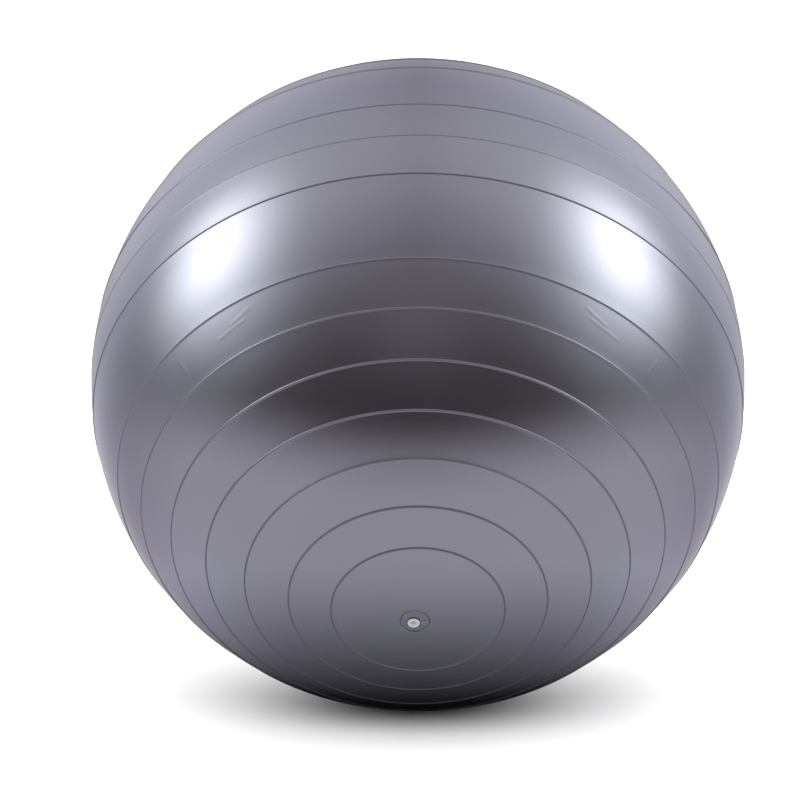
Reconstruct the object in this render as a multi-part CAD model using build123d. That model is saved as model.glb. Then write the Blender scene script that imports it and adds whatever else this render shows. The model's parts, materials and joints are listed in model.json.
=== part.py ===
from build123d import *
import math
import os

# Exercise ball: a blown-up PVC skin with rings, a valve patch moulded into it and a push-in plug.
# Millimetres and degrees. +Z is up, the floor is z = 0 and the origin is the middle of the small
# flat where the ball rests. The valve faces -Y and down.

# Skin
BALL_DIAMETER = 650.0
SKIN_WALL = 0.9
REST_FLAT_RADIUS = 40.0

# Rings, as angles from the pole that they circle. The far half mirrors the valve half.
RING_AXIS_DIP = 35.0
RING_ANGLES = (14.8, 22.4, 30.7, 38.8, 47.1, 55.7, 64.4, 81.0)
RING_WIDTH = 2.4
RING_HEIGHT = 0.7
PARTING_LINE_ANGLE = 90.0
PARTING_LINE_WIDTH = 1.4
PARTING_LINE_HEIGHT = 0.3

# Valve: the bore's direction, which is a little off the pole of the rings
VALVE_DIP = 36.3
VALVE_SIDE_TURN = -0.9
PATCH_RADIUS = 14.5
PATCH_SIDE_OFFSET = 1.2
PATCH_RISE = 2.0
PATCH_SINK = 0.6
PATCH_EDGE_WIDTH = 0.7
FLANGE_RADIUS = 20.0
FLANGE_THICKNESS = 1.4
NECK_RADIUS = 6.5
NECK_LENGTH = 22.0
BORE_RADIUS = 3.6
SEAT_RADIUS = 7.5
SEAT_DEPTH = 1.5
SEAT_OFFSET = 1.1
BOSS_RADIUS = 3.3
BOSS_HEIGHT = 0.7
BOSS_EDGE_WIDTH = 0.7
BOSS_ROOT = 0.9
BOSS_OFFSET = 10.8
BOSS_DIMPLE_RADIUS = 0.8
BOSS_DIMPLE_DEPTH = 0.4

# Plug: the head's rim is a thin lip with an undercut below it, which a fingernail lifts
HEAD_RADIUS = 5.95
HEAD_THICKNESS = 1.6
HEAD_LIP_THICKNESS = 0.8
HEAD_FOOT_RADIUS = 4.8
HEAD_EDGE_ROUND = 0.4
HEAD_DISH_RADIUS = 3.2
HEAD_DISH_DEPTH = 0.8
RUNNING_CLEARANCE = 0.05
SHANK_LENGTH = 18.0
SHANK_RIB_COUNT = 4
SHANK_RIB_DEPTH = 0.45
SHANK_RIB_LAND = 0.3
SHANK_TIP_RADIUS = 2.2
SHANK_TIP_LENGTH = 3.5

# Worked out from the sizes above
SKIN_RADIUS = BALL_DIAMETER / 2
INNER_RADIUS = SKIN_RADIUS - SKIN_WALL
CENTRE_HEIGHT = math.sqrt(SKIN_RADIUS**2 - REST_FLAT_RADIUS**2)
SHANK_RADIUS = BORE_RADIUS - RUNNING_CLEARANCE
PATCH_TOP = SKIN_RADIUS - PATCH_SINK
SEAT_FLOOR = SKIN_RADIUS - SEAT_DEPTH
CUT_MARGIN = 5.0
BIG = 2 * BALL_DIAMETER

centre = Location((0, 0, CENTRE_HEIGHT))
ring_frame = centre * Rotation(90 + RING_AXIS_DIP, 0, 0)
valve_frame = centre * Rotation(0, 0, VALVE_SIDE_TURN) * Rotation(90 + VALVE_DIP, 0, 0)


def along_skin(side, up):
    """The turn about the ball's centre that moves something along the skin, to the right and up."""
    return Rotation(-math.degrees(up / SKIN_RADIUS), math.degrees(side / SKIN_RADIUS), 0)


patch_place = valve_frame * along_skin(PATCH_SIDE_OFFSET, PATCH_RISE)
boss_place = valve_frame * along_skin(BOSS_OFFSET, 0)


def polar(radius, angle):
    """A point of the meridian plane, the angle measured from the pole."""
    return (radius * math.sin(math.radians(angle)), 0, radius * math.cos(math.radians(angle)))


def ring_list():
    """Every ring as (angle, width, height), from the valve pole to the far pole."""
    near = [(angle, RING_WIDTH, RING_HEIGHT) for angle in RING_ANGLES]
    parting_line = [(PARTING_LINE_ANGLE, PARTING_LINE_WIDTH, PARTING_LINE_HEIGHT)]
    far = [(180 - angle, width, height) for angle, width, height in reversed(near)]
    return near + parting_line + far


def ringed_ball():
    """The skin's outer shape, solid: arcs of the sphere with a low rounded rib at each ring."""
    outline = []
    start_angle = 0.0
    for angle, width, height in ring_list():
        half = math.degrees(width / 2 / SKIN_RADIUS)
        foot, far_foot = angle - half, angle + half
        outline.append(ThreePointArc(polar(SKIN_RADIUS, start_angle),
                                     polar(SKIN_RADIUS, (start_angle + foot) / 2),
                                     polar(SKIN_RADIUS, foot)))
        outline.append(ThreePointArc(polar(SKIN_RADIUS, foot),
                                     polar(SKIN_RADIUS + height, angle),
                                     polar(SKIN_RADIUS, far_foot)))
        start_angle = far_foot
    outline.append(ThreePointArc(polar(SKIN_RADIUS, start_angle),
                                 polar(SKIN_RADIUS, (start_angle + 180) / 2),
                                 polar(SKIN_RADIUS, 180)))
    outline.append(Line(polar(SKIN_RADIUS, 180), polar(SKIN_RADIUS, 0)))
    return revolve(make_face(outline), Axis.Z)


def above(height):
    """Everything above a level plane."""
    return Pos(0, 0, height) * Box(BIG, BIG, BIG, align=(Align.CENTER, Align.CENTER, Align.MIN))


def rod(radius, low, high):
    """A cylinder along Z from low to high."""
    return Pos(0, 0, low) * Cylinder(radius, high - low, align=(Align.CENTER, Align.CENTER, Align.MIN))


def make_ball_shell():
    outside = ring_frame * ringed_ball() & above(0)
    inside = (centre * Sphere(INNER_RADIUS)) & above(SKIN_WALL)
    patch_hole = patch_place * rod(PATCH_RADIUS, INNER_RADIUS - CUT_MARGIN, SKIN_RADIUS + CUT_MARGIN)
    return outside - inside - patch_hole


def at(x, z):
    return (x, 0, z)


def on_sphere(radius, x):
    """The point of a sphere about the ball's centre that is x away from the axis."""
    return at(x, math.sqrt(radius**2 - x**2))


def sphere_arc(radius, start, end):
    middle = on_sphere(radius, (start + end) / 2)
    return ThreePointArc(on_sphere(radius, start), middle, on_sphere(radius, end))


def dish_arc(radius, rim, depth):
    """Half of a shallow round dish, from its lowest point, where it is level, out to its rim."""
    return TangentArc(at(0, rim - depth), at(radius, rim), tangent=(1, 0, 0))


def rounded_edge(foot, crown):
    """An edge that leaves its foot steeply and turns level at its crown, which is further in and higher."""
    return TangentArc(crown, foot, tangent=(1, 0, 0))


def make_valve_insert():
    neck_end = SKIN_RADIUS - NECK_LENGTH
    insert = patch_place * patch_and_flange()
    insert += valve_frame * rod(NECK_RADIUS, neck_end, INNER_RADIUS - FLANGE_THICKNESS / 2)
    insert -= valve_frame * Pos(0, SEAT_OFFSET, 0) * rod(SEAT_RADIUS, SEAT_FLOOR, SKIN_RADIUS + CUT_MARGIN)
    insert -= valve_frame * rod(BORE_RADIUS, neck_end - CUT_MARGIN, SKIN_RADIUS + CUT_MARGIN)
    insert += boss_place * boss()
    return insert


def patch_and_flange():
    """The patch fills the hole in the skin, its face a little sunk, and its flange is bonded inside."""
    flange_inside = INNER_RADIUS - FLANGE_THICKNESS
    rim = on_sphere(SKIN_RADIUS, PATCH_RADIUS)
    face_edge = on_sphere(PATCH_TOP, PATCH_RADIUS - PATCH_EDGE_WIDTH)
    outline = [
        sphere_arc(flange_inside, 0, FLANGE_RADIUS),
        Line(on_sphere(flange_inside, FLANGE_RADIUS), on_sphere(INNER_RADIUS, FLANGE_RADIUS)),
        sphere_arc(INNER_RADIUS, FLANGE_RADIUS, PATCH_RADIUS),
        Line(on_sphere(INNER_RADIUS, PATCH_RADIUS), rim),
        Line(rim, face_edge),
        sphere_arc(PATCH_TOP, PATCH_RADIUS - PATCH_EDGE_WIDTH, 0),
        Line(at(0, PATCH_TOP), at(0, flange_inside)),
    ]
    return revolve(make_face(outline), Axis.Z)


def boss():
    """The small moulded boss beside the plug: a low flat dome with a pinhead dimple in its top."""
    top = PATCH_TOP + BOSS_HEIGHT
    bottom = PATCH_TOP - BOSS_ROOT
    crown = at(BOSS_RADIUS - BOSS_EDGE_WIDTH, top)
    dimple_bottom = at(0, top - BOSS_DIMPLE_DEPTH)
    outline = [
        Polyline([dimple_bottom, at(0, bottom), at(BOSS_RADIUS, bottom), at(BOSS_RADIUS, PATCH_TOP)]),
        rounded_edge(at(BOSS_RADIUS, PATCH_TOP), crown),
        Line(crown, at(BOSS_DIMPLE_RADIUS, top)),
        Line(at(BOSS_DIMPLE_RADIUS, top), dimple_bottom),
    ]
    return revolve(make_face(outline), Axis.Z)


def make_valve_plug():
    """One revolved piece: the dished head and a tapered shank with saw-tooth ribs that grip the neck."""
    bottom = SEAT_FLOOR + RUNNING_CLEARANCE
    top = bottom + HEAD_THICKNESS
    flat_edge = at(HEAD_RADIUS - HEAD_EDGE_ROUND, top)
    round_inset = HEAD_EDGE_ROUND * (1 - math.sqrt(0.5))
    round_middle = at(HEAD_RADIUS - round_inset, top - round_inset)
    round_end = at(HEAD_RADIUS, top - HEAD_EDGE_ROUND)
    lip_bottom = at(HEAD_RADIUS, top - HEAD_LIP_THICKNESS)
    dish_bottom = at(0, top - HEAD_DISH_DEPTH)
    under_head = [round_end, lip_bottom, at(HEAD_FOOT_RADIUS, bottom)]
    outline = [
        dish_arc(HEAD_DISH_RADIUS, top, HEAD_DISH_DEPTH),
        Line(at(HEAD_DISH_RADIUS, top), flat_edge),
        ThreePointArc(flat_edge, round_middle, round_end),
        Polyline(under_head + shank_points(bottom) + [dish_bottom]),
    ]
    return valve_frame * revolve(make_face(outline), Axis.Z)


def shank_points(top):
    """The shank's outline from under the head to the middle of the tip."""
    groove_radius = SHANK_RADIUS - SHANK_RIB_DEPTH
    tip = top - SHANK_LENGTH
    pitch = (SHANK_LENGTH - SHANK_TIP_LENGTH) / (SHANK_RIB_COUNT + 1)
    points = [at(groove_radius, top)]
    for rib in range(SHANK_RIB_COUNT):
        rib_top = top - (rib + 1) * pitch
        points.append(at(groove_radius, rib_top))
        points.append(at(SHANK_RADIUS, rib_top))
        points.append(at(SHANK_RADIUS, rib_top - pitch * SHANK_RIB_LAND))
    return points + [at(groove_radius, tip + SHANK_TIP_LENGTH), at(SHANK_TIP_RADIUS, tip), at(0, tip)]


PARTS = {
    "ball_shell": make_ball_shell,
    "valve_insert": make_valve_insert,
    "valve_plug": make_valve_plug,
}

os.makedirs("parts", exist_ok=True)
for name, make in PARTS.items():
    export_step(make(), f"parts/{name}.step")
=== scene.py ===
import json
import math

import bpy
import numpy as np
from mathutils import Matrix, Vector


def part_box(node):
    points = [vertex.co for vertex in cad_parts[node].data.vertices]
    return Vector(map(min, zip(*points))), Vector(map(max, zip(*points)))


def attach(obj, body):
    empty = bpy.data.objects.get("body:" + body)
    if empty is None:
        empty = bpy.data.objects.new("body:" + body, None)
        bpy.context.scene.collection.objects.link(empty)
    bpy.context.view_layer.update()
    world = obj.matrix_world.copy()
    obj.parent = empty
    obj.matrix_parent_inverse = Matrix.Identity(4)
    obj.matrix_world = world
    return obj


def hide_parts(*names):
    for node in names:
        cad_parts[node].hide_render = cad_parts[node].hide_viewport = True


# Exercise ball. Metres and degrees, +Z up. The rings circle an axis that dips towards -Y, and the
# valve sits just off the middle of the rings.

# The skin, as in the CAD model. Its ribs are a little wider here, because their feet run out smoothly.
PARTING_LINE_HEIGHT = 0.0003
SKIN_WALL = 0.0009
REST_FLAT_RADIUS = 0.040
RING_AXIS_DIP = 35.0
RING_ANGLES = (14.8, 22.4, 30.7, 38.8, 47.1, 55.7, 64.4, 81.0)
RING_WIDTH = 0.0027
RING_HEIGHT = 0.0007
PARTING_LINE_ANGLE = 90.0
PARTING_LINE_WIDTH = 0.0018
PATCH_RADIUS = 0.0145
PATCH_SIDE_OFFSET = 0.0012
PATCH_RISE = 0.0020
BOSS_RADIUS = 0.0033
BOSS_OFFSET = 0.0108

# How finely the skin is meshed. A rib's samples reach a little past its feet, and the steps elsewhere
# are in degrees from the ring axis.
SEGMENTS = 480
RIB_SAMPLES = 15
RIB_REACH = 1.1
CLEAR_OF_RIB = 0.45
PLAIN_STEP = 2.0
FLAT_STEP = 0.8
FLAT_MARGIN = 2.0
CAP_ANGLE = 12.0
CAP_RINGS = 22
INNER_STEP = 4.0
INNER_CAP_RINGS = 4
LIP_ROUND = 0.0002
LIP_TURNS = (30, 60, 90)
FLAT_SOFTNESS = 0.0012
FLAT_BLEND = 30 * FLAT_SOFTNESS

# The skin's look: a metallic pearl with a thin clear coat
SKIN_COLOUR = (0.136, 0.136, 0.168)
EDGE_TINT = (0.84, 0.82, 0.98, 1)
SKIN_METAL = 0.97
SKIN_ROUGHNESS = 0.19
SKIN_SPECULAR = 0.5
COAT_WEIGHT = 0.3
COAT_ROUGHNESS = 0.08

# Its ribs, darker and duller. The look fades in from their feet up to the first number, a share of
# their height.
RIB_FULL = 0.4
RIB_DARKNESS = 0.56
RIB_ROUGHNESS = 0.36
RIB_METAL = 0.6
RIB_SPECULAR = 0.2

# Its texture: cloudy pigment, pearl flake, scuffs that are a little rougher, and orange peel
CLOUD_SCALE = 9.0
CLOUD_TONES = (0.95, 1.05)
FLAKE_SCALE = 1400.0
FLAKE_TONES = (0.96, 1.04)
FLAKE_STRENGTH = 0.06
FLAKE_HEIGHT = 0.00006
SCUFF_SCALE = 38.0
SCUFF_LEVELS = (0.52, 0.72)
SCUFF_ROUGHNESS = 0.04
PEEL_SCALE = 260.0
PEEL_STRENGTH = 0.10
PEEL_HEIGHT = 0.0004

# Faint creases in the skin, the same on the left and the right, as two directions from the middle of
# the ball: azimuth and elevation of one end, then of the other
CREASES = ((31.5, 19.6, 34.6, 16.6), (32.0, 17.6, 36.6, 14.0), (45.0, 9.4, 42.6, 7.6))
CREASE_WIDTH = 0.0032
CREASE_HEIGHT = 0.00008

# The boss on the valve patch: lighter and duller than the skin, fading out across its edge
BOSS_TONE = 1.25
BOSS_EXTRA_ROUGHNESS = 0.2
BOSS_EDGE = (0.85 * BOSS_RADIUS, 1.1 * BOSS_RADIUS)

# Painted shade on the valve patch: darker along the foot of its edge, most of it below, and in the boss's
# dimple
PATCH_SHADE_WIDTH = 0.0021
PATCH_SHADE_LEVELS = (-0.009, 0.004)
PATCH_SHADE_ABOVE = 0.25
DIMPLE_SHADE = (0.0006, 0.0012)
PATCH_SHADE_TONE = 0.45

# The plug's look: painted shade in the head's dish fades out between two distances from the middle
# of the dish, and random dirt specks darken it too
PLUG_COLOUR = (0.31, 0.31, 0.32, 1)
PLUG_SHADE_AND_DIRT_COLOUR = (0.17, 0.17, 0.165, 1)
PLUG_ROUGHNESS = 0.35
PLUG_SOFTNESS = 0.15
PLUG_SOFTNESS_DEPTH = 0.002
PLUG_GRAIN_SCALE = 2500.0
PLUG_GRAIN_STRENGTH = 0.15
PLUG_GRAIN_HEIGHT = 0.0001
DISH_SHADE = (0.0018, 0.0036)
DISH_SHADE_AMOUNT = 0.7
SPECKLE_SCALE = 600.0
SPECKLE_LEVELS = (0.35, 0.75)
SPECKLE_AMOUNT = 0.3

# Floor, backdrop and a soft sun that doesn't show in the gloss: azimuth, elevation, width and strength
FLOOR_SIZE = 60.0
FLOOR_TONE = 0.92
WORLD_STRENGTH = 1.8
SUN = (0, 35, 40, 1.2)

# The backdrop is a pale grey to the left and the right, so that a bright rim of the ball shows
# against it. It fades in sideways, and upwards from the horizon, and out again higher up.
WORLD_SIDE_STRENGTH = 0.66
WORLD_SIDE_REACH = (0.55, 0.85)
WORLD_SIDE_FOOT = (0.0, 0.014)
WORLD_SIDE_TOP = (0.08, 0.2)

# The room that the ball mirrors
ROOM_RADIUS = 8.0
ROOM_SEGMENTS = 96
ROOM_TIERS = 24
ROOM_TOP_TIER = 88
ROOM_BASE = (0.095, 0.055, 0.052)

# What the ball mirrors of the floor: a painted contact shadow near where it stands, bright in front and at
# the sides, dimmer behind as a painted shadow, and fading into the room. The painted contact shadow lies a
# little behind the contact and is narrower from left to right. Radii and its shift are in ball radii; the
# fade is by how far down one looks, and it starts a little higher at the sides.
FLOOR_GLOW_FRONT = 1.55
FLOOR_GLOW_BACK = 0.42
FLOOR_GLOW_TURN = (-0.4, 0.8)
CONTACT_SHADOW_RADII = (0.40, 1.5)
CONTACT_SHADOW_SHIFT = 0.13
CONTACT_SHADOW_NARROWING = 1.12
FLOOR_FADE = (-0.42, -0.03)
FLOOR_FADE_SIDE_LIFT = 0.12

# What glows in the room, the same on the left and the right: azimuth from the camera, elevation,
# how tightly it is gathered, strength and tint. A negative one takes light away.
ROOM_GLOWS = {
    "softbox": (99, 33, 29.0, 5.50, (1.06, 1.10, 1.00)),
    "softbox_halo": (84, 27, 13.3, 2.55, (0.97, 1.03, 1.00)),
    "ceiling": (107, 72, 3.2, 1.50, (1.00, 1.00, 1.00)),
    "back_wall": (140, 18, 6.5, 1.13, (0.95, 1.02, 1.00)),
    "front_wall": (0, 27, 26.0, 0.25, (1.00, 0.90, 0.95)),
    "dark_skirting": (82, 4, 25.0, -0.20, (1.00, 1.00, 1.00)),
}

# Camera: its distance in ball radii, the ball's radius as a share of the picture's width, and the
# sensor in millimetres
CAMERA_ELEVATION = 8.0
CAMERA_DISTANCE_RADII = 15.5
BALL_RADIUS_SHARE = 0.4085
CAMERA_SHIFT = (-0.0225, -0.01925)
SENSOR = 36.0


# ---------------------------------------------------------------- geometry helpers

def unit(vector):
    return np.asarray(vector, float) / np.linalg.norm(vector)


def axis_frame(axis):
    """Three unit vectors: to the right, up along the skin, and outward along the axis."""
    axis = unit(axis)
    right = unit(np.cross((0, 0, 1), axis))
    return right, np.cross(axis, right), axis


def circle_points(axis, angle, radius, segments=SEGMENTS):
    """Points on the sphere at an angle from an axis, anticlockwise seen from outside."""
    right, up, out = axis_frame(axis)
    turn = np.linspace(0, 2 * math.pi, segments, endpoint=False)[:, None]
    tilt = math.radians(angle)
    around = np.cos(turn) * right + np.sin(turn) * up
    return radius * (math.cos(tilt) * out + math.sin(tilt) * around)


def direction(azimuth, elevation):
    """A unit vector, the azimuth measured from the camera's side towards the right."""
    turn, rise = math.radians(azimuth), math.radians(elevation)
    return Vector((math.sin(turn) * math.cos(rise), -math.cos(turn) * math.cos(rise), math.sin(rise)))


def mesh_object(name, vertices, faces, material):
    mesh = bpy.data.meshes.new(name)
    mesh.from_pydata([tuple(v) for v in vertices], [], faces)
    mesh.shade_smooth()
    mesh.materials.append(material)
    mesh.update()
    piece = bpy.data.objects.new(name, mesh)
    bpy.context.scene.collection.objects.link(piece)
    return piece


def join_rings(ring_count, segments=SEGMENTS):
    """Quads between successive rings of points, wound so that they face outward."""
    faces = []
    for ring in range(ring_count - 1):
        low, high = ring * segments, (ring + 1) * segments
        for i in range(segments):
            j = (i + 1) % segments
            faces.append((low + i, high + i, high + j, low + j))
    return faces


# ---------------------------------------------------------------- the skin

def ring_list():
    """Every ring as (angle, half width in degrees, height), from the valve pole to the far pole."""
    half = math.degrees(RING_WIDTH / 2 / skin_radius)
    parting_half = math.degrees(PARTING_LINE_WIDTH / 2 / skin_radius)
    near = [(angle, half, RING_HEIGHT) for angle in RING_ANGLES]
    parting = [(PARTING_LINE_ANGLE, parting_half, PARTING_LINE_HEIGHT)]
    return near + parting + [(180 - a, w, h) for a, w, h in reversed(near)]


def rib_height(angle, rings):
    """How far the skin stands out at an angle from the ring axis: smooth ribs with rounded feet."""
    for middle, half, height in rings:
        t = (angle - middle) / half
        if abs(t) < 1:
            return height * (1 - t * t) ** 2
    return 0.0


def meridian_angles(rings):
    """The angles at which the skin is sampled: close together over the ribs and the flat."""
    bottom = 90 - RING_AXIS_DIP
    flat_half = math.degrees(math.asin(REST_FLAT_RADIUS / skin_radius)) + FLAT_MARGIN
    fine = set()
    for middle, half, _ in rings:
        for t in np.linspace(-RIB_REACH, RIB_REACH, RIB_SAMPLES):
            fine.add(round(middle + t * half, 4))
    plain = []
    angle = CAP_ANGLE
    while angle < 180:
        if all(abs(angle - other) > CLEAR_OF_RIB for other in fine):
            plain.append(round(angle, 4))
        near_flat = abs(angle - bottom) < flat_half
        angle += FLAT_STEP if near_flat else PLAIN_STEP
    return sorted(list(fine) + plain)


def flatten(points, floor):
    """Presses the underside onto a level plane, with a soft edge to the flat."""
    rise = points[:, 2] - floor
    pressed = (rise + np.sqrt(rise**2 + FLAT_SOFTNESS**2)) / 2
    points[:, 2] = floor + np.where(rise < FLAT_BLEND, pressed, rise)
    return points


def cap_ring(step, radius):
    """A ring between the edge of the valve hole, at step 0, and the first ring about the ring axis."""
    angle = patch_angle + (CAP_ANGLE - patch_angle) * step
    axis = unit((1 - step) * patch_axis + step * ring_axis)
    return circle_points(axis, angle, radius)


def outer_rings():
    """Rings of points over the whole outside, from the edge of the valve hole to the far pole."""
    rings = ring_list()
    found = [cap_ring(step, skin_radius) for step in np.linspace(0, 1, CAP_RINGS)]
    for angle in meridian_angles(rings)[1:]:
        found.append(circle_points(ring_axis, angle, skin_radius + rib_height(angle, rings)))
    return found


def inner_rings(radius):
    """Coarser rings over the inside, from the far pole back to the valve hole."""
    found = []
    for angle in np.arange(180 - INNER_STEP, CAP_ANGLE, -INNER_STEP):
        found.append(circle_points(ring_axis, angle, radius))
    return found + [cap_ring(step, radius) for step in np.linspace(1, 0, INNER_CAP_RINGS)]


def lip_rings():
    """The rounded edge of the valve hole."""
    found = []
    for turn in LIP_TURNS:
        drop = LIP_ROUND * (1 - math.cos(math.radians(turn)))
        back = LIP_ROUND * (1 - math.sin(math.radians(turn)))
        angle = math.degrees(math.asin((PATCH_RADIUS + back) / skin_radius))
        found.append(circle_points(patch_axis, angle, skin_radius - drop))
    return found


def mark_ribs(skin):
    """Writes on each point how far it stands out on a rib, from 0 to 1, for the material."""
    rings = ring_list()
    heights = np.zeros(len(skin.data.vertices), np.float32)
    for number, angle in enumerate(meridian_angles(rings)[1:]):
        first = (CAP_RINGS + number) * SEGMENTS
        heights[first:first + SEGMENTS] = rib_height(angle, rings) / RING_HEIGHT
    skin.data.attributes.new("rib", "FLOAT", "POINT").data.foreach_set("value", heights)


def make_skin(material):
    """The hollow skin: its outside, its inside and the lip of the valve hole that joins them."""
    outside = outer_rings()
    inside = inner_rings(skin_radius - SKIN_WALL)
    lip = lip_rings()
    outer = np.concatenate(outside + [[-ring_axis * skin_radius]]) + centre
    outer = flatten(outer, 0)
    inner = np.concatenate([[-ring_axis * (skin_radius - SKIN_WALL)]] + inside) + centre
    inner = flatten(inner, SKIN_WALL)
    edge = np.concatenate(lip) + centre
    vertices = np.concatenate([outer, inner, edge])

    last = (len(outside) - 1) * SEGMENTS
    pole = len(outside) * SEGMENTS
    inner_pole = pole + 1
    first_inner = inner_pole + 1
    last_inner = first_inner + (len(inside) - 1) * SEGMENTS
    first_edge = len(outer) + len(inner)
    faces = join_rings(len(outside))
    faces += [(last + i, pole, last + (i + 1) % SEGMENTS) for i in range(SEGMENTS)]
    faces += [(inner_pole, first_inner + i, first_inner + (i + 1) % SEGMENTS) for i in range(SEGMENTS)]
    faces += [tuple(first_inner + v for v in face) for face in join_rings(len(inside))]
    loops = [0] + [first_edge + k * SEGMENTS for k in range(len(lip))] + [last_inner]
    for upper, lower in zip(loops, loops[1:]):
        for i in range(SEGMENTS):
            j = (i + 1) % SEGMENTS
            faces.append((lower + i, upper + i, upper + j, lower + j))
    skin = mesh_object("ball_skin", vertices, faces, material)
    mark_ribs(skin)
    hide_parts("ball_shell")
    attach(skin, "ball")


# ---------------------------------------------------------------- materials

class Nodes:
    """A node tree, built one line at a time."""

    def __init__(self, tree):
        self.tree = tree
        tree.nodes.clear()

    def add(self, kind, inputs=None, **settings):
        node = self.tree.nodes.new(kind)
        for key, value in settings.items():
            setattr(node, key, value)
        for key, value in (inputs or {}).items():
            if isinstance(value, bpy.types.NodeSocket):
                self.tree.links.new(value, node.inputs[key])
            else:
                node.inputs[key].default_value = value
        return node

    def place(self):
        """Where a point of the object is, in the object's own frame."""
        return self.add("ShaderNodeTexCoord").outputs["Object"]

    def math(self, operation, a, b=0.0):
        return self.add("ShaderNodeMath", {0: a, 1: b}, operation=operation).outputs[0]

    def times(self, a, b):
        return self.math("MULTIPLY", a, b)

    def vector(self, operation, a, b=(0, 0, 0)):
        """A vector made from one or two others."""
        return self.add("ShaderNodeVectorMath", {0: a, 1: b}, operation=operation).outputs["Vector"]

    def measure(self, operation, a, b=(0, 0, 0)):
        """A number made from one or two vectors: a length, a distance or a dot product."""
        return self.add("ShaderNodeVectorMath", {0: a, 1: b}, operation=operation).outputs["Value"]

    def scaled(self, vector, factor):
        return self.add("ShaderNodeVectorMath", {0: vector, 3: factor}, operation="SCALE").outputs["Vector"]

    def split(self, vector):
        return self.add("ShaderNodeSeparateXYZ", {0: vector}).outputs

    def join(self, x, y, z=0.0):
        return self.add("ShaderNodeCombineXYZ", {0: x, 1: y, 2: z}).outputs[0]

    def mirrored(self, vector):
        """The vector moved to the right-hand side, for what is the same on the left and the right."""
        x, y, z = self.split(vector)
        return self.join(self.math("ABSOLUTE", x), y, z)

    def ramp(self, value, low, high, out_low, out_high):
        node = self.add("ShaderNodeMapRange", {0: value, 1: low, 2: high, 3: out_low, 4: out_high})
        return node.outputs[0]

    def blend(self, share, at_none, at_full):
        """One number where the share is 0, another where it is 1."""
        return self.ramp(share, 0.0, 1.0, at_none, at_full)

    def smooth(self, value, low, high, out_low=0.0, out_high=1.0):
        node = self.add("ShaderNodeMapRange", {0: value, 1: low, 2: high, 3: out_low, 4: out_high},
                        interpolation_type="SMOOTHSTEP")
        return node.outputs[0]

    def noise(self, vector, scale, detail=2.0, roughness=0.5):
        node = self.add("ShaderNodeTexNoise", {"Vector": vector, "Scale": scale, "Detail": detail,
                                               "Roughness": roughness})
        return node.outputs[0]

    def bump(self, height, strength, distance, normal=None):
        inputs = {"Height": height, "Strength": strength, "Distance": distance}
        if normal is not None:
            inputs["Normal"] = normal
        return self.add("ShaderNodeBump", inputs).outputs[0]

    def surface(self, kind, inputs):
        """The tree's surface, a single shader."""
        shader = self.add(kind, inputs)
        self.add("ShaderNodeOutputMaterial", {"Surface": shader.outputs[0]})


def new_material(name):
    material = bpy.data.materials.new(name)
    material.use_nodes = True
    return material, Nodes(material.node_tree)


def distance_off_axis(nodes, place, axis):
    """How far a place is from a line through the middle of the ball."""
    offset = nodes.vector("SUBTRACT", place, tuple(centre))
    across = nodes.vector("CROSS_PRODUCT", offset, tuple(axis))
    return nodes.measure("LENGTH", across)


def crease_height(nodes, place):
    """1 along the middle of each crease, fading to 0 beside it."""
    mirrored = nodes.mirrored(place)
    height = 0.0
    for crease in CREASES:
        start = Vector(centre) + direction(*crease[:2]) * skin_radius
        run = Vector(centre) + direction(*crease[2:]) * skin_radius - start
        offset = nodes.vector("SUBTRACT", mirrored, start)
        along = nodes.measure("DOT_PRODUCT", offset, run / run.length_squared)
        along = nodes.math("MINIMUM", nodes.math("MAXIMUM", along, 0.0), 1.0)
        away = nodes.measure("DISTANCE", offset, nodes.scaled(run, along))
        height = nodes.math("ADD", nodes.smooth(away, 0.0, CREASE_WIDTH, 1.0, 0.0), height)
    return height


def patch_painted_shade(nodes, place, off_boss):
    """1 where shade is painted on the valve patch: along the foot of its edge, most of it below, and in the
    boss's dimple.
    """
    off_patch = distance_off_axis(nodes, place, patch_axis)
    corner = nodes.smooth(off_patch, PATCH_RADIUS - PATCH_SHADE_WIDTH, PATCH_RADIUS - PATCH_SHADE_WIDTH / 2)
    patch_level = centre[2] + skin_radius * patch_axis[2]
    level = nodes.math("SUBTRACT", nodes.split(place)[2], patch_level)
    corner = nodes.times(corner, nodes.smooth(level, *PATCH_SHADE_LEVELS, 1.0, PATCH_SHADE_ABOVE))
    dimple = nodes.smooth(off_boss, *DIMPLE_SHADE, 1.0, 0.0)
    return nodes.math("MAXIMUM", corner, dimple)


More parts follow.
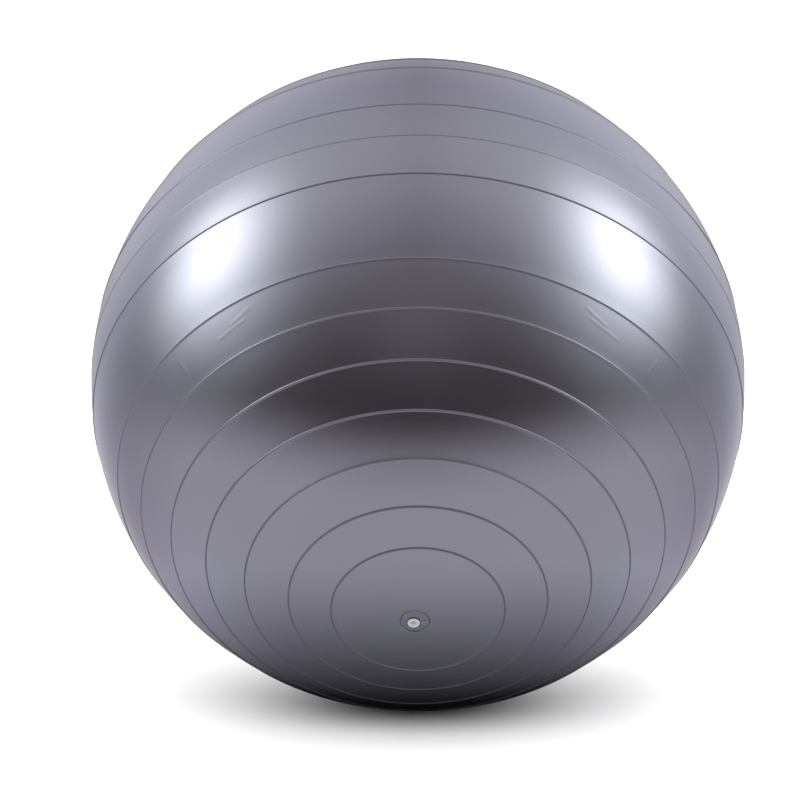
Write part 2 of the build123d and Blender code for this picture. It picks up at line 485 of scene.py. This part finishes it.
def pearl_pvc(name, on_patch=False):
    """Soft PVC with a silver pearl pigment, scuffed and faintly creased, with orange peel.

    The thin raised ribs are duller and darker than the skin between them. On the valve patch, shade is
    painted along the foot of its sunk edge, most of it below, and in the boss's dimple, and the moulded boss
    is worn lighter.
    """
    material, nodes = new_material(name)
    place = nodes.place()
    rib = nodes.add("ShaderNodeAttribute", attribute_name="rib").outputs["Fac"]
    on_rib = nodes.smooth(rib, 0.0, RIB_FULL)
    flake = nodes.noise(place, FLAKE_SCALE, 1.0)
    tone = nodes.blend(nodes.noise(place, CLOUD_SCALE, 3.0), *CLOUD_TONES)
    tone = nodes.times(tone, nodes.blend(flake, *FLAKE_TONES))
    tone = nodes.times(tone, nodes.blend(on_rib, 1.0, RIB_DARKNESS))
    scuffs = nodes.smooth(nodes.noise(place, SCUFF_SCALE, 6.0, 0.7), *SCUFF_LEVELS)
    rough = nodes.blend(scuffs, SKIN_ROUGHNESS, SKIN_ROUGHNESS + SCUFF_ROUGHNESS)
    rough = nodes.add("ShaderNodeMix", {0: on_rib, 2: rough, 3: RIB_ROUGHNESS}, data_type="FLOAT").outputs[0]
    if on_patch:
        off_boss = distance_off_axis(nodes, place, boss_axis)
        on_boss = nodes.smooth(off_boss, *BOSS_EDGE, 1.0, 0.0)
        tone = nodes.times(tone, nodes.blend(on_boss, 1.0, BOSS_TONE))
        # Painted shade: darker along the foot of the patch's edge, most of it below, and in the boss's
        # dimple
        tone = nodes.times(tone, nodes.blend(patch_painted_shade(nodes, place, off_boss), 1.0, PATCH_SHADE_TONE))
        rough = nodes.math("ADD", rough, nodes.times(on_boss, BOSS_EXTRA_ROUGHNESS))
    normal = nodes.bump(crease_height(nodes, place), 1.0, CREASE_HEIGHT)
    normal = nodes.bump(nodes.noise(place, PEEL_SCALE, 2.0), PEEL_STRENGTH, PEEL_HEIGHT, normal)
    normal = nodes.bump(flake, FLAKE_STRENGTH, FLAKE_HEIGHT, normal)
    nodes.surface("ShaderNodeBsdfPrincipled", {
        "Base Color": nodes.scaled(SKIN_COLOUR, tone),
        "Metallic": nodes.blend(on_rib, SKIN_METAL, RIB_METAL),
        "Roughness": rough,
        "Normal": normal,
        "Specular IOR Level": nodes.blend(on_rib, SKIN_SPECULAR, RIB_SPECULAR),
        "Specular Tint": EDGE_TINT,
        "Coat Weight": nodes.blend(on_rib, COAT_WEIGHT, 0.0),
        "Coat Roughness": COAT_ROUGHNESS,
    })
    return material


def plug_plastic():
    """White moulded plastic with a faint grain and dirt specks, and painted shade darkening the head's dish.
    """
    material, nodes = new_material("white_plastic")
    place = nodes.place()
    off_axis = distance_off_axis(nodes, place, valve_axis)
    speckle = nodes.smooth(nodes.noise(place, SPECKLE_SCALE, 4.0), *SPECKLE_LEVELS, 0.0, SPECKLE_AMOUNT)
    # Painted shade darkens the middle of the head's dish; the specks are dirt
    dish_shade_and_specks = nodes.math("ADD", nodes.smooth(off_axis, *DISH_SHADE, DISH_SHADE_AMOUNT, 0.0), speckle)
    colour = nodes.add("ShaderNodeMix", {0: dish_shade_and_specks, 6: PLUG_COLOUR, 7: PLUG_SHADE_AND_DIRT_COLOUR}, data_type="RGBA")
    grain = nodes.noise(place, PLUG_GRAIN_SCALE, 2.0)
    nodes.surface("ShaderNodeBsdfPrincipled", {
        "Base Color": colour.outputs[2],
        "Roughness": PLUG_ROUGHNESS,
        "Normal": nodes.bump(grain, PLUG_GRAIN_STRENGTH, PLUG_GRAIN_HEIGHT),
        "Subsurface Weight": PLUG_SOFTNESS,
        "Subsurface Radius": (PLUG_SOFTNESS_DEPTH,) * 3,
        "Subsurface Scale": 1.0,
    })
    return material


# ---------------------------------------------------------------- studio

def make_floor():
    material, nodes = new_material("floor_white")
    nodes.surface("ShaderNodeBsdfDiffuse", {"Color": (FLOOR_TONE, FLOOR_TONE, FLOOR_TONE, 1)})
    half = FLOOR_SIZE / 2
    corners = [(-half, -half, 0), (half, -half, 0), (half, half, 0), (-half, half, 0)]
    floor = mesh_object("floor", corners, [(0, 1, 2, 3)], material)
    floor.visible_glossy = False


def make_world():
    world = bpy.data.worlds.new("studio")
    world.use_nodes = True
    nodes = Nodes(world.node_tree)
    towards = nodes.add("ShaderNodeTexCoord").outputs["Generated"]
    side, _, rise = nodes.split(towards)
    grey = nodes.smooth(nodes.math("ABSOLUTE", side), *WORLD_SIDE_REACH)
    grey = nodes.times(grey, nodes.smooth(rise, *WORLD_SIDE_FOOT))
    grey = nodes.times(grey, nodes.smooth(rise, *WORLD_SIDE_TOP, 1.0, 0.0))
    strength = nodes.blend(grey, WORLD_STRENGTH, WORLD_SIDE_STRENGTH)
    light = nodes.add("ShaderNodeBackground", {"Color": (1, 1, 1, 1), "Strength": strength})
    nodes.add("ShaderNodeOutputWorld", {"Surface": light.outputs[0]})
    bpy.context.scene.world = world


def floor_glow(nodes, place, towards):
    """How bright the mirrored floor is at a place, from its direction and its distance to the contact, with
    a painted shadow near the contact and behind the ball.
    """
    side, _, rise = nodes.split(towards)
    x, y, _ = nodes.split(place)
    flat_place = nodes.join(x, y)
    turn = nodes.split(nodes.vector("NORMALIZE", flat_place))[1]
    # Dimmer behind the ball: a painted shadow
    glow = nodes.smooth(turn, *FLOOR_GLOW_TURN, FLOOR_GLOW_FRONT, FLOOR_GLOW_BACK)
    lift = nodes.times(nodes.times(side, side), FLOOR_FADE_SIDE_LIFT)
    glow = nodes.times(glow, nodes.smooth(nodes.math("SUBTRACT", rise, lift), *FLOOR_FADE, 1.0, 0.0))
    # The painted contact shadow: dark within the inner radius of a spot a little behind the contact,
    # narrower from left to right, gone by the outer radius
    narrowed = nodes.vector("MULTIPLY", flat_place, (CONTACT_SHADOW_NARROWING, 1, 0))
    reach = nodes.measure("DISTANCE", narrowed, (0, CONTACT_SHADOW_SHIFT * skin_radius, 0))
    inner, outer = CONTACT_SHADOW_RADII
    return nodes.times(glow, nodes.smooth(reach, inner * skin_radius, outer * skin_radius))


def wall_glow(nodes, mirrored, azimuth, elevation, gather, strength):
    """How bright one glow of the room is in a direction: it fades with the angle from its middle."""
    match = nodes.measure("DOT_PRODUCT", mirrored, direction(azimuth, elevation))
    fade = nodes.times(nodes.math("SUBTRACT", match, 1.0), gather)
    return nodes.times(nodes.math("EXPONENT", fade), strength)


def room_material():
    """A dim room with its mirrored floor and its soft glows."""
    material, nodes = new_material("room_glow")
    place = nodes.place()
    towards = nodes.vector("NORMALIZE", place)
    mirrored = nodes.mirrored(towards)
    floor = floor_glow(nodes, place, towards)
    colour = nodes.join(floor, floor, floor)
    for *shape, tint in ROOM_GLOWS.values():
        lit = nodes.scaled(tint, wall_glow(nodes, mirrored, *shape))
        colour = nodes.vector("ADD", lit, colour)
    # The room's dim base is left out near the contact too, as part of the painted contact shadow
    off_contact = nodes.smooth(nodes.measure("LENGTH", place), skin_radius, 2 * skin_radius)
    colour = nodes.vector("ADD", nodes.scaled(ROOM_BASE, off_contact), colour)
    nodes.surface("ShaderNodeEmission", {"Color": colour})
    return material


def make_room():
    """What the ball mirrors: a hemisphere on a flat round floor, centred on the ball."""
    floor_level = -centre[2]
    turns = np.linspace(0, 2 * math.pi, ROOM_SEGMENTS, endpoint=False)
    vertices = [(0, 0, floor_level)]
    for elevation in np.radians(np.linspace(0, ROOM_TOP_TIER, ROOM_TIERS)):
        reach = ROOM_RADIUS * math.cos(elevation)
        height = floor_level + ROOM_RADIUS * math.sin(elevation)
        vertices += [(reach * math.cos(turn), reach * math.sin(turn), height) for turn in turns]
    top = len(vertices)
    vertices.append((0, 0, floor_level + ROOM_RADIUS))
    faces = [tuple(1 + v for v in face) for face in join_rings(ROOM_TIERS, ROOM_SEGMENTS)]
    for i in range(ROOM_SEGMENTS):
        j = (i + 1) % ROOM_SEGMENTS
        faces.append((0, 1 + i, 1 + j))
        faces.append((top - ROOM_SEGMENTS + i, top, top - ROOM_SEGMENTS + j))
    room = mesh_object("room", vertices, faces, room_material())
    room.location = centre
    room.visible_camera = False
    room.visible_diffuse = False
    room.visible_transmission = False
    room.visible_volume_scatter = False
    room.visible_shadow = False


def make_sun():
    azimuth, elevation, width, strength = SUN
    data = bpy.data.lights.new("sun", "SUN")
    data.angle = math.radians(width)
    data.energy = strength
    sun = bpy.data.objects.new("sun", data)
    bpy.context.scene.collection.objects.link(sun)
    sun.rotation_mode = "QUATERNION"
    sun.rotation_quaternion = direction(azimuth, elevation).to_track_quat("Z", "Y")
    sun.visible_glossy = False
    sun.visible_camera = False


def make_camera():
    back = direction(0, CAMERA_ELEVATION)
    data = bpy.data.cameras.new("camera")
    data.sensor_width = SENSOR
    data.lens = SENSOR * BALL_RADIUS_SHARE * math.sqrt(CAMERA_DISTANCE_RADII**2 - 1)
    data.shift_x, data.shift_y = CAMERA_SHIFT
    data.clip_end = 100.0
    camera = bpy.data.objects.new("camera", data)
    bpy.context.scene.collection.objects.link(camera)
    camera.location = Vector(centre) + back * CAMERA_DISTANCE_RADII * skin_radius
    camera.rotation_mode = "QUATERNION"
    camera.rotation_quaternion = (-back).to_track_quat("-Z", "Y")
    bpy.context.scene.camera = camera


# ---------------------------------------------------------------- the scene

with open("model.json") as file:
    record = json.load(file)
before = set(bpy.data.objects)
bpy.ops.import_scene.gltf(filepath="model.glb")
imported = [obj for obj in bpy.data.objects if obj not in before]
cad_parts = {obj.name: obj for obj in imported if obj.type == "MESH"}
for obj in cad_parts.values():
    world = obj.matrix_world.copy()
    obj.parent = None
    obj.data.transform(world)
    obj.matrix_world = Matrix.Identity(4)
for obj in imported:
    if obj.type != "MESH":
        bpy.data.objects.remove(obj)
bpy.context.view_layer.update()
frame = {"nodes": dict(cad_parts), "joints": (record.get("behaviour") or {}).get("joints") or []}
low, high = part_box("ball_shell")
skin_radius = (high.x - low.x) / 2 - PARTING_LINE_HEIGHT
centre = np.array([0, 0, math.sqrt(skin_radius**2 - REST_FLAT_RADIUS**2)])
dip = math.radians(RING_AXIS_DIP)
ring_axis = np.array([0, -math.cos(dip), -math.sin(dip)])
valve_axis = unit(frame["joints"][0]["axis"])
valve_right, valve_up, _ = axis_frame(valve_axis)
patch_axis = unit(valve_axis + valve_right * (PATCH_SIDE_OFFSET / skin_radius)
                  + valve_up * (PATCH_RISE / skin_radius))
patch_angle = math.degrees(math.asin((PATCH_RADIUS + LIP_ROUND) / skin_radius))
boss_axis = unit(valve_axis + valve_right * (BOSS_OFFSET / skin_radius))

make_skin(pearl_pvc("pearl_pvc"))
for node, material in (("valve_insert", pearl_pvc("pearl_pvc_valve", on_patch=True)),
                       ("valve_plug", plug_plastic())):
    frame["nodes"][node].data.materials.clear()
    frame["nodes"][node].data.materials.append(material)

make_world()
make_floor()
make_room()
make_sun()
make_camera()
bpy.context.scene.view_settings.view_transform = "Standard"
bpy.context.scene.cycles.use_denoising = True
